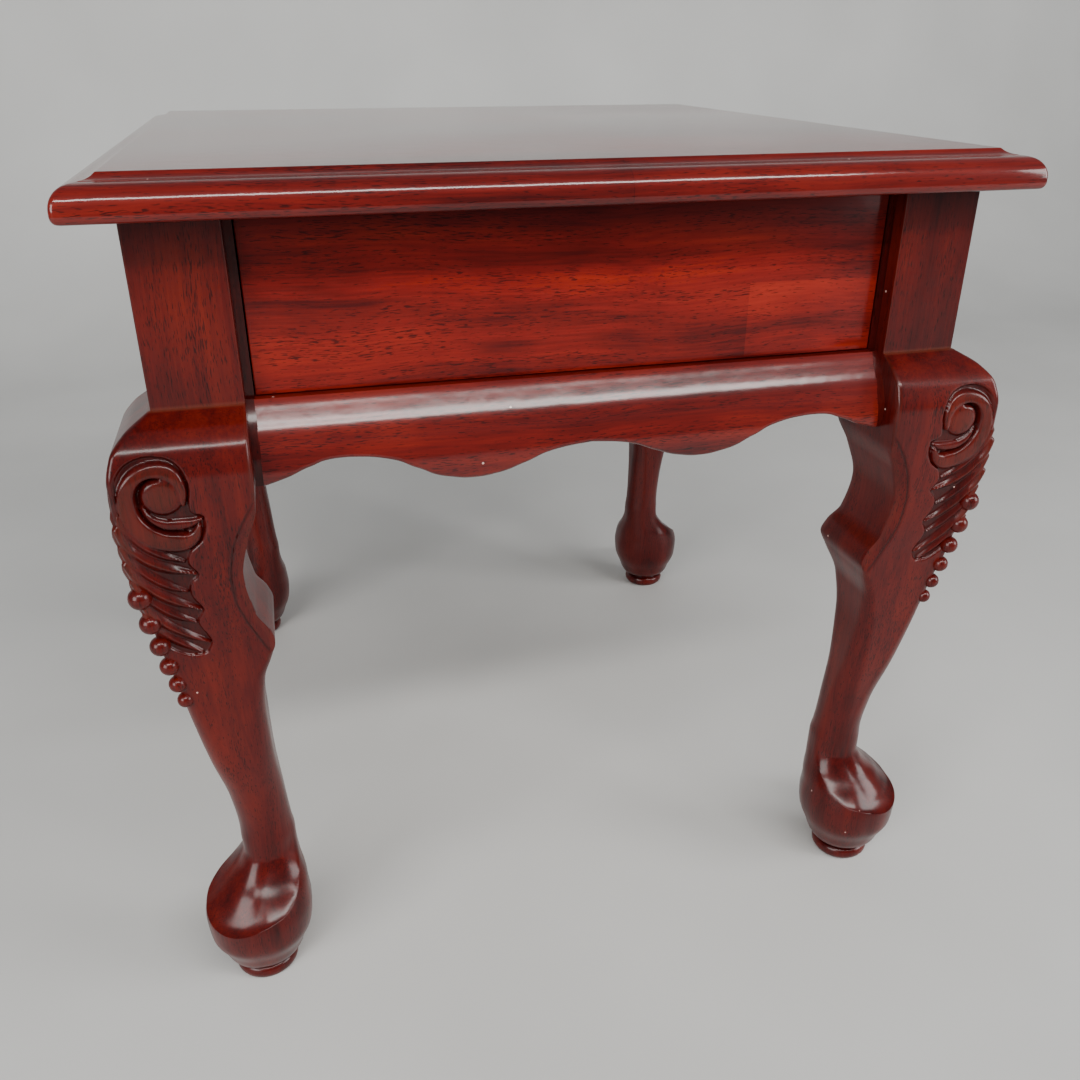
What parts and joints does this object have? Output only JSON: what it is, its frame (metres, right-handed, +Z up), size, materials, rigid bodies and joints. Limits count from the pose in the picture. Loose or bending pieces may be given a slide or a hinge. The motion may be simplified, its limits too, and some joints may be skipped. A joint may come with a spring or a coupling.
{
  "type": "side table",
  "caption": "Low side table with a moulded top, carved cabriole legs, bulging scalloped rails and one shallow drawer with a plain front.",
  "frame": {"origin": "on the floor under the middle of the table", "axes": "+Z up, the drawer front faces -Y, +X to the right seen from the front"},
  "size_m": [0.549, 0.564, 0.555],
  "materials": {
    "top_wood": "gloss red mahogany lacquer",
    "leg_wood": "gloss red mahogany lacquer",
    "rail_wood": "gloss red mahogany lacquer",
    "panel_wood": "gloss red mahogany lacquer",
    "strip_wood": "dark toned lacquer",
    "inner_wood": "sanded, thin clear coat",
    "plywood": "sanded, thin clear coat",
    "steel": "zinc plated"
  },
  "bodies": {
    "table": {"corner_block_back_left": "inner_wood", "corner_block_back_right": "inner_wood", "corner_block_front_left": "inner_wood", "corner_block_front_right": "inner_wood", "drawer_stop_left": "inner_wood", "drawer_stop_right": "inner_wood", "kicker_left": "inner_wood", "kicker_right": "inner_wood", "leg_back_left": "leg_wood", "leg_back_right": "leg_wood", "leg_bolts": "steel", "leg_front_left": "leg_wood", "leg_front_right": "leg_wood", "panel_back": "panel_wood", "panel_left": "panel_wood", "panel_right": "panel_wood", "rail_back": "rail_wood", "rail_front": "rail_wood", "rail_left": "rail_wood", "rail_right": "rail_wood", "runner_left": "inner_wood", "runner_right": "inner_wood", "runner_screws": "steel", "strip_back_left": "strip_wood", "strip_back_right": "strip_wood", "strip_front_left": "strip_wood", "strip_front_right": "strip_wood", "strip_left_back": "strip_wood", "strip_left_front": "strip_wood", "strip_right_back": "strip_wood", "strip_right_front": "strip_wood", "table_top": "top_wood", "top_screws": "steel"},
    "drawer": {"drawer_back": "inner_wood", "drawer_bottom": "plywood", "drawer_front": "panel_wood", "drawer_front_screws": "steel", "drawer_inner_front": "inner_wood", "drawer_side_left": "inner_wood", "drawer_side_right": "inner_wood"}
  },
  "joints": [
    {"name": "drawer_slide", "type": "slide", "parent": "table", "child": "drawer", "axis": [0, -1, 0], "range_m": [0, 0.28]}
  ]
}
